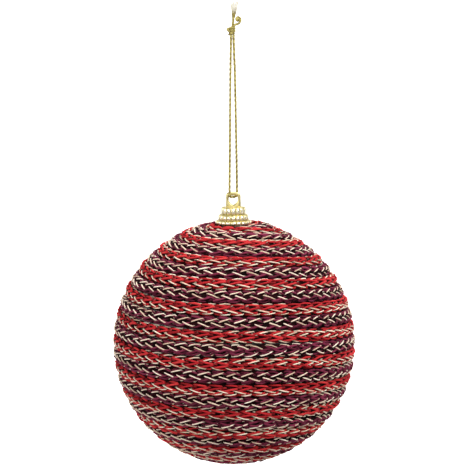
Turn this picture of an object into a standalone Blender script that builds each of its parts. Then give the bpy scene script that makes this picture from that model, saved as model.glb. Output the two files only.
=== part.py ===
"""A christmas bauble: a foam ball wound with a red and a plum knitted cord.

Metres, +Z up. The origin is where the bauble hangs, just under the knot at the top
of the thread's loop. The ball is below it and the front of the bauble faces -Y.
"""

import math

import bmesh
import bpy
from mathutils import Vector

# Ball and winding
BALL_DIAMETER = 0.100          # over the crests of the cords
CORD_DIAMETER = 0.0050         # one knitted cord where nothing squeezes it
TURN_GAP = 0.0003              # between neighbouring turns of cord
SEAT_GAP = 0.0003              # between any other two pieces that touch
SPAN_DIP = 0.00045             # how far a straight span of cord may dip inside its curve
LONGEST_SPAN = math.radians(30)
CORD_SIDES = 6                 # a tube has an even number of sides, four or more
FOAM_STEPS = 24                # facets of the hidden foam ball, around and from top to bottom
FOAM_RINGS = 13
RED_AT_FRONT = math.radians(1.25)  # angle down from the top at which the red cord meets the front

# The upper turns are pushed down on one side, as wound by hand
LEAN = math.radians(9)
LEAN_FADE = math.radians(26)
LEAN_SIDE = math.radians(105)  # direction of the lean, turned from the front towards +X
LEAN_POWER = 4                 # a higher power makes the lean narrower around the ball

# Towards the cap the winding stands higher than a round ball would
SHOULDER_HEIGHT = 0.00135
SHOULDER_FADE = math.radians(48)

# On the side of the lean a turn beside the cap stands proud of that
PROUD_HEIGHT = 0.0012
PROUD_AT = math.radians(14)    # angle down from the top
PROUD_OVER = math.radians(3)

# All turns follow one slow wave
WAVE = math.radians(0.45)
WAVES_AROUND = 3
WAVE_SIDE = math.radians(-38)

# Cap, from its stem upwards
STEM_DIAMETER = 0.006
STEM_IN_FOAM = 0.012
SKIRT_DIAMETER = 0.015
SKIRT_HEIGHT = 0.0011
LOWER_TIER_DIAMETER = 0.0127
LOWER_TIER_HEIGHT = 0.0024
UPPER_TIER_DIAMETER = 0.0102
UPPER_TIER_HEIGHT = 0.0031
BEAD_DEPTH = 0.00045
SKIRT_BEADS = 20
LOWER_BEADS = 20
UPPER_BEADS = 15
CAP_STEPS = 60

# Eyelet on the cap
EYELET_WIDTH = 0.0059
EYELET_HEIGHT = 0.0062
EYELET_THICKNESS = 0.0016
EYELET_CORNER = 0.0012
EYELET_BAR = 0.0015            # the bar over the hole, which the thread pulls on
EYELET_HOLE_WIDTH = 0.0037
EYELET_HOLE_HEIGHT = 0.0037
EYELET_HOLE_CORNER = 0.0007
EYELET_HOLE_STRAIGHT = 0.0016  # how far the hole's sides run straight before they taper
EYELET_SUNK = 0.0005           # how far the eyelet's foot runs into the upper tier

# Hanging thread and knot
THREAD_DIAMETER = 0.0009
LOOP_LENGTH = 0.0632           # from the hang point down to the underside of the eyelet's bar
THREAD_CLEARANCE = 0.0002
THREAD_SIDES = 8
THREAD_SPACING = 0.00216       # between the thread's points
LOOP_SPREAD = 0.0015           # half the distance between the legs at the eyelet
LOOP_UNDER_BAR = 0.00045       # how far the turn's centre is above the bar's underside
KNOT_RISE = 0.0021             # from the hang point up to the knot
KNOT_WIDTH = 0.0034
KNOT_HEIGHT = 0.0040
KNOT_DEPTH = 0.0030
LOBE_DIAMETER = 0.00187        # the lump at the knot's left
TAIL_LENGTH = 0.0092           # cut ends of the thread above the knot
CURL_DIAMETER = 0.0026
TAIL_SUNK = 0.0009             # how far the curl and the tail start inside the knot
TAIL_SIDES = 6

TURN = 2 * math.pi
FINE_TURN = 0.01               # small step of azimuth, in radians
WELD_DISTANCE = 0.000001
CORD_RADIUS = CORD_DIAMETER / 2
THREAD_RADIUS = THREAD_DIAMETER / 2
TURN_PITCH = CORD_DIAMETER + TURN_GAP
WINDING_RADIUS = BALL_DIAMETER / 2 - CORD_RADIUS
PAIR_ANGLE = 2 * TURN_PITCH / WINDING_RADIUS
FOAM_RADIUS = WINDING_RADIUS - CORD_RADIUS - SPAN_DIP - SEAT_GAP
FIRST_TURN_ANGLE = math.asin((STEM_DIAMETER / 2 + SEAT_GAP + CORD_RADIUS) / WINDING_RADIUS)
LAST_TURN_ANGLE = math.pi - math.asin(TURN_PITCH / 2 / WINDING_RADIUS)
SHOULDER_START = math.asin(SKIRT_DIAMETER / BALL_DIAMETER)
SHOULDER_FULL = math.asin((SKIRT_DIAMETER / 2 + CORD_DIAMETER) / WINDING_RADIUS)
CREST_AT_STEM = BALL_DIAMETER / 2 * math.cos(FIRST_TURN_ANGLE)

EYELET_TOP = EYELET_BAR - LOOP_LENGTH
EYELET_FOOT = EYELET_TOP - EYELET_HEIGHT
UPPER_TIER_FOOT = EYELET_FOOT - UPPER_TIER_HEIGHT
LOWER_TIER_FOOT = UPPER_TIER_FOOT - LOWER_TIER_HEIGHT
CAP_FOOT = LOWER_TIER_FOOT - SKIRT_HEIGHT
BALL_CENTRE = CAP_FOOT - SEAT_GAP - CREST_AT_STEM
FOAM_TOP = BALL_CENTRE + FOAM_RADIUS
STEM_FOOT = FOAM_TOP - STEM_IN_FOAM


def clear_scene():
    """Start from an empty scene."""
    for old in list(bpy.data.objects):
        bpy.data.objects.remove(old, do_unlink=True)


def new_collection(name):
    collection = bpy.data.collections.new(name)
    bpy.context.scene.collection.children.link(collection)
    return collection


def new_material(name, color, roughness, metallic=0.0):
    material = bpy.data.materials.new(name)
    material.use_nodes = True
    shader = material.node_tree.nodes["Principled BSDF"]
    shader.inputs["Base Color"].default_value = (*color, 1.0)
    shader.inputs["Roughness"].default_value = roughness
    shader.inputs["Metallic"].default_value = metallic
    return material


def link(obj, collection, material=None):
    collection.objects.link(obj)
    if material:
        obj.data.materials.append(material)
    return obj


def hide_cutter(obj):
    """Keep a shape that only cuts or joins out of sight."""
    obj.hide_render = True
    obj.display_type = "WIRE"
    return obj


def turned(name, profile, steps):
    """A solid of revolution about Z. The profile runs down its outer side, top to bottom."""
    mesh = bpy.data.meshes.new(name)
    edges = [(i, i + 1) for i in range(len(profile) - 1)]
    mesh.from_pydata([(radius, 0, z) for radius, z in profile], edges, [])
    obj = bpy.data.objects.new(name, mesh)
    screw = obj.modifiers.new("Turn", "SCREW")
    screw.steps = steps
    screw.render_steps = steps
    screw.use_merge_vertices = True
    screw.merge_threshold = WELD_DISTANCE
    return obj


def tube(name, points, radii, width, sides):
    """A closed tube along the points. Each radius is a share of half the width."""
    curve = bpy.data.curves.new(name, "CURVE")
    curve.dimensions = "3D"
    curve.bevel_depth = width / 2
    curve.bevel_resolution = int(sides / 2) - 2
    curve.use_fill_caps = True
    spline = curve.splines.new("POLY")
    spline.points.add(len(points) - 1)
    for target, point, radius in zip(spline.points, points, radii):
        target.co = (*point, 1.0)
        target.radius = radius
    spline.use_smooth = True
    return bpy.data.objects.new(name, curve)


def as_mesh(obj, collection):
    """Turn a curve or a modified object into a plain mesh object of the same name."""
    bpy.context.view_layer.update()
    evaluated = obj.evaluated_get(bpy.context.evaluated_depsgraph_get())
    mesh = bpy.data.meshes.new_from_object(evaluated)
    name = obj.name
    matrix = obj.matrix_world.copy()
    bpy.data.objects.remove(obj, do_unlink=True)
    cleaner = bmesh.new()
    cleaner.from_mesh(mesh)
    bmesh.ops.remove_doubles(cleaner, verts=cleaner.verts, dist=WELD_DISTANCE)
    cleaner.to_mesh(mesh)
    cleaner.free()
    result = bpy.data.objects.new(name, mesh)
    result.matrix_world = matrix
    collection.objects.link(result)
    return result


def join(target, other):
    """Fuse the other shape into the target with a Boolean union."""
    union = target.modifiers.new("Join " + other.name, "BOOLEAN")
    union.operation = "UNION"
    union.object = other
    hide_cutter(other)


def smooth_route(route, spacing):
    """Points at an even spacing on a smooth curve through the route's points.

    Between two route points the curve is a cubic whose slope at each point follows the
    line between the point's neighbours."""
    route = [Vector(point) for point in route]
    ends = [2 * route[0] - route[1]] + route + [2 * route[-1] - route[-2]]
    fine = []
    pieces = 24
    for before, start, stop, after in zip(ends, ends[1:], ends[2:], ends[3:]):
        slope_in = (stop - before) / 2
        slope_out = (after - start) / 2
        for i in range(pieces):
            t = i / pieces
            fine.append(
                start * (2 * t**3 - 3 * t**2 + 1) + slope_in * (t**3 - 2 * t**2 + t)
                + stop * (3 * t**2 - 2 * t**3) + slope_out * (t**3 - t**2)
            )
    fine.append(route[-1])
    lengths = [0.0]
    for a, b in zip(fine, fine[1:]):
        lengths.append(lengths[-1] + (b - a).length)
    count = max(2, round(lengths[-1] / spacing))
    points = []
    index = 0
    for step in range(count + 1):
        wanted = lengths[-1] * step / count
        while index < len(fine) - 2 and lengths[index + 1] < wanted:
            index += 1
        span = lengths[index + 1] - lengths[index]
        points.append(fine[index].lerp(fine[index + 1], (wanted - lengths[index]) / span))
    return points


# Winding

def even_angle(azimuth, lag):
    """Angle down from the top of an evenly wound cord, after so much azimuth."""
    return RED_AT_FRONT + PAIR_ANGLE * (azimuth + lag) / TURN


def side_share(azimuth):
    """1 on the side of the lean and 0 on the side away from it."""
    return ((1 + math.cos(azimuth - LEAN_SIDE)) / 2) ** LEAN_POWER


def lean_at(azimuth, lag):
    """How far the hand winding leans down there, strongest at the top and on one side."""
    return LEAN * side_share(azimuth) * math.exp(-even_angle(azimuth, lag) / LEAN_FADE)


def wave_at(azimuth, lag):
    """How far the slow wave moves the cord down there, strongest halfway down the ball."""
    wave = math.cos(WAVES_AROUND * (azimuth - WAVE_SIDE))
    return WAVE * wave * math.sin(even_angle(azimuth, lag))


def cord_angle(azimuth, lag):
    return even_angle(azimuth, lag) + lean_at(azimuth, lag) + wave_at(azimuth, lag)


def shoulder_at(angle):
    """How much higher the winding stands there. The turns under the skirt stay low."""
    past_skirt = (angle - SHOULDER_START) / (SHOULDER_FULL - SHOULDER_START)
    return SHOULDER_HEIGHT * min(1, max(0, past_skirt)) * math.exp(-(angle / SHOULDER_FADE)**2)


def crest_at(azimuth, lag):
    """Distance of the cord's crest from the ball's middle."""
    angle = cord_angle(azimuth, lag)
    from_proudest = (angle - PROUD_AT) / PROUD_OVER
    proud = PROUD_HEIGHT * side_share(azimuth) * math.exp(-from_proudest**2)
    return BALL_DIAMETER / 2 + shoulder_at(angle) + proud


def cord_point(azimuth, lag):
    """Middle of the cord there. A thinned cord keeps its crest where it would be."""
    angle = cord_angle(azimuth, lag)
    reach = crest_at(azimuth, lag) - CORD_RADIUS * cord_thickness(azimuth, lag)
    return Vector((
        reach * math.sin(angle) * math.sin(azimuth),
        -reach * math.sin(angle) * math.cos(azimuth),
        BALL_CENTRE + reach * math.cos(angle),
    ))


def span_after(azimuth, lag):
    """Azimuth of the next straight span, so short that it dips no more than SPAN_DIP."""
    radius = WINDING_RADIUS * math.sin(cord_angle(azimuth, lag))
    return min(LONGEST_SPAN, math.sqrt(8 * SPAN_DIP / radius))


def cord_thickness(azimuth, lag):
    """Share of its full thickness that the cord keeps where its turns crowd together.

    The turns crowd where the lean fades, where the spiral is steep, and where straight
    spans cut inside their curve."""
    angle = cord_angle(azimuth, lag)
    crowding = 1 - lean_at(azimuth, lag) / LEAN_FADE
    climb = (cord_angle(azimuth + FINE_TURN, lag) - angle) / FINE_TURN
    steepness = math.cos(math.atan(climb / math.sin(angle)))
    radius = WINDING_RADIUS * math.sin(angle)
    dip = radius * (1 - math.cos(span_after(azimuth, lag) / 2)) * abs(math.cos(angle))
    room = TURN_PITCH * crowding * steepness - TURN_GAP - dip
    return min(1.0, room / CORD_DIAMETER)


def wound_cord(name, lag):
    """One cord wound in a spiral from beside the cap's stem to the ball's lowest point."""
    azimuth = -lag
    while cord_angle(azimuth, lag) < FIRST_TURN_ANGLE:
        azimuth += FINE_TURN
    points = []
    shares = []
    while cord_angle(azimuth, lag) < LAST_TURN_ANGLE:
        points.append(cord_point(azimuth, lag))
        shares.append(cord_thickness(azimuth, lag))
        azimuth += span_after(azimuth, lag)
    return tube(name, points, shares, CORD_DIAMETER, CORD_SIDES)


# Ball

def foam_ball():
    """The light ball, with a bore at the top for the cap's stem."""
    bore = STEM_DIAMETER / 2 + SEAT_GAP
    bore_angle = math.asin(bore / FOAM_RADIUS)
    profile = [(0, STEM_FOOT - SEAT_GAP), (bore, STEM_FOOT - SEAT_GAP)]
    for i in range(FOAM_RINGS + 1):
        angle = bore_angle + (math.pi - bore_angle) * i / FOAM_RINGS
        radius = FOAM_RADIUS * math.sin(angle) if i < FOAM_RINGS else 0
        profile.append((radius, BALL_CENTRE + FOAM_RADIUS * math.cos(angle)))
    return turned("foam_ball", profile, FOAM_STEPS)


# Cap

TIERS = (
    # foot, height, diameter, beads around
    (UPPER_TIER_FOOT, UPPER_TIER_HEIGHT, UPPER_TIER_DIAMETER, UPPER_BEADS),
    (LOWER_TIER_FOOT, LOWER_TIER_HEIGHT, LOWER_TIER_DIAMETER, LOWER_BEADS),
    (CAP_FOOT, SKIRT_HEIGHT, SKIRT_DIAMETER, SKIRT_BEADS),
)
BEAD_EDGE = 0.18               # share of a tier's height over which a bead rounds off


def cap_body():
    """Stem and three beaded tiers: a turned blank whose tiers are pressed into beads."""
    profile = [(0, EYELET_FOOT)]
    for foot, height, diameter, _ in TIERS:
        groove = diameter / 2 - BEAD_DEPTH
        profile += [
            (groove, foot + height),
            (diameter / 2, foot + height * (1 - BEAD_EDGE)),
            (diameter / 2, foot + height * BEAD_EDGE),
        ]
    profile += [
        (SKIRT_DIAMETER / 2 - BEAD_DEPTH, CAP_FOOT),
        (STEM_DIAMETER / 2, CAP_FOOT),
        (STEM_DIAMETER / 2, STEM_FOOT),
        (0, STEM_FOOT),
    ]
    return turned("gold_cap", profile, CAP_STEPS)


def press_beads(mesh):
    """Draw the crests of each tier in between its beads, by the depth of a bead."""
    for vertex in mesh.vertices:
        radius = math.hypot(vertex.co.x, vertex.co.y)
        azimuth = math.atan2(vertex.co.x, -vertex.co.y)
        for foot, height, diameter, beads in TIERS:
            on_crest = abs(radius - diameter / 2) < BEAD_DEPTH / 10
            if on_crest and foot < vertex.co.z < foot + height:
                pressed = radius - BEAD_DEPTH * (1 - abs(math.cos(beads * azimuth / 2)))
                vertex.co.x *= pressed / radius
                vertex.co.y *= pressed / radius


def arc(centre_x, centre_z, radius, start, stop, pieces):
    """Points on an arc in the XZ plane, both ends included. Angles in degrees from +X."""
    points = []
    for i in range(pieces + 1):
        angle = math.radians(start + (stop - start) * i / pieces)
        points.append((centre_x + radius * math.cos(angle), centre_z + radius * math.sin(angle)))
    return points


def eyelet():
    """A flat loop with square shoulders and a teardrop hole, its foot in the upper tier."""
    half = EYELET_WIDTH / 2
    corner = EYELET_CORNER
    foot = EYELET_FOOT - EYELET_SUNK
    outline = [(half, foot)]
    outline += arc(half - corner, EYELET_TOP - corner, corner, 0, 90, 4)
    outline += arc(corner - half, EYELET_TOP - corner, corner, 90, 180, 4)
    outline.append((-half, foot))
    hole_half = EYELET_HOLE_WIDTH / 2
    hole_corner = EYELET_HOLE_CORNER
    hole_top = EYELET_TOP - EYELET_BAR
    taper = EYELET_HOLE_HEIGHT - EYELET_HOLE_STRAIGHT
    hole = arc(hole_half - hole_corner, hole_top - hole_corner, hole_corner, 0, 90, 3)
    hole += arc(hole_corner - hole_half, hole_top - hole_corner, hole_corner, 90, 180, 3)
    for side, drop in ((-1, 0), (-0.7, 0.55), (0, 1), (0.7, 0.55), (1, 0)):
        hole.append((side * hole_half, hole_top - EYELET_HOLE_STRAIGHT - drop * taper))
    curve = bpy.data.curves.new("eyelet", "CURVE")
    curve.dimensions = "2D"
    curve.fill_mode = "BOTH"
    curve.extrude = EYELET_THICKNESS / 2
    for loop in (outline, hole):
        spline = curve.splines.new("POLY")
        spline.points.add(len(loop) - 1)
        for target, (x, z) in zip(spline.points, loop):
            target.co = (x, z, 0, 1)
        spline.use_cyclic_u = True
    obj = bpy.data.objects.new("eyelet", curve)
    obj.rotation_euler.x = math.radians(90)
    return obj


def gold_cap(parts, cutters, material):
    """Stem, tiers and eyelet in one, as they are moulded."""
    blank = cap_body()
    parts.objects.link(blank)
    body = as_mesh(blank, parts)
    press_beads(body.data)
    loop = eyelet()
    cutters.objects.link(loop)
    join(body, as_mesh(loop, cutters))
    body.data.materials.append(material)
    body.data.shade_smooth()
    body.data.set_sharp_from_angle(angle=math.radians(40))
    return body


# Thread

def thread_route():
    """From the knot down in front of the eyelet's bar, under it, and up behind it."""
    bar_underside = -LOOP_LENGTH
    turn_centre = bar_underside + LOOP_UNDER_BAR
    side = LOOP_SPREAD
    depth = EYELET_THICKNESS / 2 + THREAD_CLEARANCE + THREAD_RADIUS
    turn_radius = math.hypot(side, depth)
    touching = THREAD_RADIUS + THREAD_CLEARANCE / 2
    left = [
        (-touching, 0, KNOT_RISE - SEAT_GAP),
        (-touching, 0, 0.0008),
        (-0.0007, 0, -0.005),
        (-0.0009, -0.0001, -0.015),
        (-0.0011, -0.0002, -0.030),
        (-0.0013, -0.0005, -0.045),
        (-side, -depth, -0.058),
    ]
    right = [
        (side, depth, -0.058),
        (0.0014, 0.0004, -0.045),
        (0.0012, 0.0001, -0.030),
        (0.0010, 0, -0.015),
        (0.0007, 0, -0.005),
        (touching, 0, 0.0008),
        (touching, 0, KNOT_RISE - SEAT_GAP),
    ]
    turn = []
    for degrees in range(180, 361, 30):
        angle = math.radians(degrees)
        across = math.cos(angle)
        turn.append((side * across, depth * across, turn_centre + turn_radius * math.sin(angle)))
    return left + turn + right


def hanging_thread():
    points = smooth_route(thread_route(), THREAD_SPACING)
    shares = [1.0] * len(points)
    return tube("hanging_thread", points, shares, THREAD_DIAMETER, THREAD_SIDES)


def ellipsoid(name, centre, size, segments, rings):
    mesh = bpy.data.meshes.new(name)
    shape = bmesh.new()
    bmesh.ops.create_uvsphere(shape, u_segments=segments, v_segments=rings, radius=0.5)
    for vertex in shape.verts:
        vertex.co = Vector(centre) + Vector([a * b for a, b in zip(vertex.co, size)])
    shape.to_mesh(mesh)
    shape.free()
    return bpy.data.objects.new(name, mesh)


def thread_knot(parts, cutters, material):
    """The tight knot with a lobe at one side, a curl at the other and two cut ends."""
    middle = KNOT_RISE + KNOT_HEIGHT / 2
    knot = ellipsoid("thread_knot", (0, 0, middle), (KNOT_WIDTH, KNOT_DEPTH, KNOT_HEIGHT), 12, 8)
    link(knot, parts, material)
    lobe_centre = (-KNOT_WIDTH / 2, -LOBE_DIAMETER / 6, middle)
    lobe = ellipsoid("knot_lobe", lobe_centre, (LOBE_DIAMETER,) * 3, 8, 6)
    cutters.objects.link(lobe)
    join(knot, lobe)
    top = KNOT_RISE + KNOT_HEIGHT
    curl_radius = (CURL_DIAMETER - THREAD_DIAMETER) / 2
    curl_x = KNOT_WIDTH / 2 + curl_radius * 0.5
    curl_z = top + curl_radius
    curl_route = [(curl_radius / 4, 0, top - TAIL_SUNK)]
    for degrees in range(-90, 171, 30):
        angle = math.radians(degrees)
        curl_route.append((
            curl_x + curl_radius * math.cos(angle),
            THREAD_RADIUS * degrees / 180,
            curl_z + curl_radius * math.sin(angle),
        ))
    curl_points = smooth_route(curl_route, THREAD_DIAMETER)
    tail_route = [
        (-0.0004, 0, top - TAIL_SUNK),
        (-0.0004, 0, top + TAIL_LENGTH * 0.3),
        (-0.0002, 0.0002, top + TAIL_LENGTH * 0.7),
        (-0.0003, 0, top + TAIL_LENGTH),
    ]
    tail_points = smooth_route(tail_route, THREAD_SPACING)
    for name, points in (("knot_curl", curl_points), ("knot_tail", tail_points)):
        end = tube(name, points, [1.0] * len(points), THREAD_DIAMETER, TAIL_SIDES)
        cutters.objects.link(end)
        join(knot, as_mesh(end, cutters))
    return knot


def build():
    clear_scene()
    parts = new_collection("christmas_bauble")
    cutters = new_collection("christmas_bauble_joined_shapes")
    foam = new_material("white_foam", (0.85, 0.85, 0.83), 0.9)
    red = new_material("red_yarn", (0.52, 0.03, 0.03), 0.85)
    plum = new_material("plum_yarn", (0.14, 0.02, 0.07), 0.85)
    gold = new_material("gold_plastic", (0.86, 0.68, 0.30), 0.25, 1.0)
    thread_gold = new_material("gold_thread", (0.60, 0.50, 0.18), 0.4, 0.7)

    ball = link(foam_ball(), parts, foam)
    ball.data.shade_smooth()
    link(wound_cord("red_knitted_cord", 0.0), parts, red)
    link(wound_cord("plum_knitted_cord", math.pi), parts, plum)
    gold_cap(parts, cutters, gold)
    link(hanging_thread(), parts, thread_gold)
    thread_knot(parts, cutters, thread_gold)


build()
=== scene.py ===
# %% [markdown]
# A christmas bauble wound with knitted cords
#
# The bauble is a light ball round which two knitted cords are wound side by side, one
# scarlet with cream and one plum with cream. A gold cap with beaded tiers and an eyelet
# sits on top, and the bauble hangs by a thin twisted gold thread that is knotted above.
#
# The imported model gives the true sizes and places. This script gives the looks. Every
# strand of the knitting, bead of the cap and ply of the thread is a mesh worked out with
# numpy in the same frame, in metres, with +Z up and the front at -Y.

# %% Load the frame
import math

import bpy
import numpy as np
from mathutils import Matrix, Vector


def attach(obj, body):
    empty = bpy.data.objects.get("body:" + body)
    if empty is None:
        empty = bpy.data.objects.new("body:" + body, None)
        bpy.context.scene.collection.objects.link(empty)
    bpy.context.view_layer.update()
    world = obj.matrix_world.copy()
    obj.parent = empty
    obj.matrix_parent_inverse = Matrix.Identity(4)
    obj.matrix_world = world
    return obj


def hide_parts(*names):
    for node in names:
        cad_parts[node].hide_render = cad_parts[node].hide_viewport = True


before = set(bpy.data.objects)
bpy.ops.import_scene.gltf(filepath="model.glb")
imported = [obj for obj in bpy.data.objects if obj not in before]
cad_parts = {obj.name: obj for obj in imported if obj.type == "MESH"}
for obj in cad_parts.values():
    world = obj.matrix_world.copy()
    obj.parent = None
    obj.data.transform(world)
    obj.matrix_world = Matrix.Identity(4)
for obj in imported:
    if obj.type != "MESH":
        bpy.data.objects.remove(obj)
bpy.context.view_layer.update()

TURN = 2 * math.pi
MM = 0.001

# %% [markdown]
# The camera
#
# The bauble is seen from a little above, with a long lens, so that the ball keeps an
# almost round outline. The lens is given by its focal length in pixels of a 470 pixel
# frame, and the camera is turned so that the ball's middle falls on its own pixel. A
# small roll makes the thread lean by a third of a degree, as a freely hanging thing does.

# %% Place the camera
FRAME_PIXELS = 470
SENSOR_WIDTH = 36.0
FOCAL_PIXELS = 2418.0
BALL_PIXEL = (234.2, 342.9)
CAMERA_DISTANCE = 1.0
CAMERA_ELEVATION = math.radians(9.5)
CAMERA_ROLL = math.radians(0.35)
BALL_CENTRE = -0.12443


def make_camera():
    """A camera that looks at the ball from the front.

    The ball's offset from the frame's middle, turned back by the roll, gives the two
    small angles between the line to the ball and the camera's own axis."""
    right = BALL_PIXEL[0] - FRAME_PIXELS / 2
    up = FRAME_PIXELS / 2 - BALL_PIXEL[1]
    level_right = math.cos(CAMERA_ROLL) * right + math.sin(CAMERA_ROLL) * up
    level_up = math.cos(CAMERA_ROLL) * up - math.sin(CAMERA_ROLL) * right
    pitch = -CAMERA_ELEVATION - math.atan(level_up / FOCAL_PIXELS)
    yaw = math.atan(level_right / FOCAL_PIXELS)
    data = bpy.data.cameras.new("camera")
    data.sensor_width = SENSOR_WIDTH
    data.lens = FOCAL_PIXELS / FRAME_PIXELS * SENSOR_WIDTH
    data.clip_start = 0.05
    data.clip_end = 60.0
    camera = bpy.data.objects.new("camera", data)
    bpy.context.scene.collection.objects.link(camera)
    back = Vector((0, -math.cos(CAMERA_ELEVATION), math.sin(CAMERA_ELEVATION)))
    turn = Matrix.Rotation(yaw, 3, "Z")
    turn = turn @ Matrix.Rotation(math.radians(90) + pitch, 3, "X")
    turn = turn @ Matrix.Rotation(-CAMERA_ROLL, 3, "Z")
    place = Vector((0, 0, BALL_CENTRE)) + back * CAMERA_DISTANCE
    camera.matrix_world = Matrix.Translation(place) @ turn.to_4x4()
    bpy.context.scene.camera = camera
    return camera


camera = make_camera()
print("camera at", [round(value, 3) for value in camera.matrix_world.translation])

# %% [markdown]
# Meshes from arrays
#
# Each piece below ends as one array of points and one array of four-cornered faces. Grids
# that close on themselves need only one more rule, which column follows the last one.
# One helper turns such arrays into a Blender mesh, with its UV map and its attributes.

# %% Helpers that put arrays into meshes
COLLECTION = bpy.context.scene.collection


def mesh_piece(name, points, quads, uv=None, values=None):
    """An object from points [n, 3] and faces [m, 4], with UVs [m, 4, 2] in the faces' order.

    Each entry of values is a name and one number for each point."""
    mesh = bpy.data.meshes.new(name)
    mesh.from_pydata(np.asarray(points).reshape(-1, 3), [], np.asarray(quads).reshape(-1, 4))
    if uv is not None:
        layer = mesh.uv_layers.new(name="UVMap")
        layer.data.foreach_set("uv", np.asarray(uv, dtype=np.float32).ravel())
    for label, numbers in (values or {}).items():
        attribute = mesh.attributes.new(label, "FLOAT", "POINT")
        attribute.data.foreach_set("value", np.asarray(numbers, dtype=np.float32).ravel())
    mesh.shade_smooth()
    mesh.validate()
    obj = bpy.data.objects.new(name, mesh)
    COLLECTION.objects.link(obj)
    return obj


def grid_quads(rows, columns, closed_rows=False):
    """Faces of a grid of points counted row by row, whose columns close on themselves. A
    face looks out when the columns run round to the left as the rows go up."""
    row = np.arange(rows if closed_rows else rows - 1)
    row, column = np.meshgrid(row, np.arange(columns), indexing="ij")
    next_row = (row + 1) % rows
    next_column = (column + 1) % columns
    corners = (row * columns + column, row * columns + next_column,
               next_row * columns + next_column, next_row * columns + column)
    return np.stack(corners, axis=-1).reshape(-1, 4)


def grid_uv(rows, columns, along):
    """UVs of such a grid: from 0 to 1 round the columns, and along as given by row."""
    row, column = np.meshgrid(np.arange(rows - 1), np.arange(columns), indexing="ij")
    left, right = column / columns, (column + 1) / columns
    low, high = along[row], along[row + 1]
    corners = ((left, low), (right, low), (right, high), (left, high))
    return np.stack([np.stack(pair, axis=-1) for pair in corners], axis=-2).reshape(-1, 4, 2)


def tube_faces(rows, sides, along, turned=False):
    """Faces and UVs of an even-sided tube, whose end rings are closed by fans of quads.
    Where the rings run round to the right, the faces are turned."""
    second = np.arange(1, sides - 1, 2)
    fan = np.stack((np.zeros_like(second), second, second + 1, second + 2), axis=1)
    quads = np.vstack((grid_quads(rows, sides), fan[:, ::-1], fan + (rows - 1) * sides))
    uv = np.vstack((grid_uv(rows, sides, along), np.zeros((2 * len(fan), 4, 2))))
    return (quads[:, ::-1], uv[:, ::-1]) if turned else (quads, uv)


def joined(parts):
    """Several (points, faces, UVs) put together as one."""
    points, quads, uvs = zip(*parts)
    offsets = np.cumsum([0] + [len(some) for some in points[:-1]])
    quads = [some + offset for some, offset in zip(quads, offsets)]
    return np.vstack(points), np.vstack(quads), np.vstack(uvs)


print("mesh helpers ready")

# %% [markdown]
# Lines and tubes
#
# Thread, yarn and cord all follow lines. A line is a list of points, smoothed by a cubic
# and laid out at an even spacing, and a tube is a ring of points carried along it. A
# curve with a bevel would do the same for a plain tube, but here the rings can be shaped.

# %% Helpers for lines and tubes


STEPS_BETWEEN = 24             # of a smooth line, between two points of its route
TIP_RADIUS = 0.4               # shares of a tube's radius
TIP_LENGTH = 0.5


def unit(vectors):
    """The same directions with length 1."""
    return vectors / np.linalg.norm(vectors, axis=-1, keepdims=True)


def even_angles(count):
    """Angles at an even spacing round a full turn."""
    return np.arange(count) * TURN / count


def carried_frame(line):
    """Tangents and two sideways directions along a line of points [n, 3].

    The sideways direction is carried from point to point by removing the part that runs
    along the line, so that the frame turns no more than the line itself."""
    tangent = unit(np.gradient(line, axis=0))
    side = np.empty_like(line)
    start = np.cross(tangent[0], (0.0, 1.0, 0.0))
    if np.linalg.norm(start) < 0.1:
        start = np.cross(tangent[0], (1.0, 0.0, 0.0))
    side[0] = start / np.linalg.norm(start)
    for index in range(1, len(line)):
        carried = side[index - 1] - tangent[index] * np.dot(side[index - 1], tangent[index])
        side[index] = carried / np.linalg.norm(carried)
    return tangent, side, np.cross(tangent, side)


def along_line(line):
    """Distance from the first point to each point of a line."""
    steps = np.linalg.norm(np.diff(line, axis=0), axis=1)
    return np.concatenate(([0.0], np.cumsum(steps)))


def read_line(line, distance, wanted):
    """The line's places at the wanted distances, each between its two nearest points."""
    return np.stack([np.interp(wanted, distance, line[:, axis]) for axis in range(3)], axis=-1)


def resampled(line, spacing):
    """The same line with points at an even spacing."""
    distance = along_line(line)
    count = max(2, round(distance[-1] / spacing))
    return read_line(line, distance, np.linspace(0, distance[-1], count + 1))


def smooth_line(route, spacing):
    """Points at an even spacing on a smooth curve through the route's points.

    Between two route points the curve is a cubic whose slope at each point follows the
    line between the point's neighbours."""
    route = np.asarray(route, dtype=float)
    before = np.vstack((2 * route[0] - route[1], route, 2 * route[-1] - route[-2]))
    t = np.linspace(0, 1, STEPS_BETWEEN + 1)[:-1, None]
    start, stop = before[1:-2, None], before[2:-1, None]
    slope_in = (before[2:-1, None] - before[:-3, None]) / 2
    slope_out = (before[3:, None] - before[1:-2, None]) / 2
    fine = (start * (2 * t**3 - 3 * t**2 + 1) + slope_in * (t**3 - 2 * t**2 + t)
            + stop * (3 * t**2 - 2 * t**3) + slope_out * (t**3 - t**2))
    return resampled(np.vstack((fine.reshape(-1, 3), route[-1])), spacing)


def tube_arrays(line, radius, sides, lay=1.0):
    """A round closed tube along a line: its points, faces and UVs.

    Each ring is the line's point plus the radius times a turning sideways direction. One
    more ring at each end, smaller and a little further out, makes a blunt tip, and the
    hole left there is closed by faces. The UV runs once round the tube and, along it, in
    lays."""
    tangent, side, other = carried_frame(line)
    angle = even_angles(sides)
    ring = side[:, None] * np.cos(angle)[:, None] + other[:, None] * np.sin(angle)[:, None]
    tips = line[[0, -1], None] + ring[[0, -1]] * radius * TIP_RADIUS
    points = np.concatenate((tips[:1], line[:, None] + ring * radius, tips[1:]))
    points[0] -= tangent[0] * radius * TIP_LENGTH
    points[-1] += tangent[-1] * radius * TIP_LENGTH
    distance = along_line(points[:, 0])
    return points.reshape(-1, 3), *tube_faces(len(points), sides, distance / lay)


print("line helpers ready")

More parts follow.
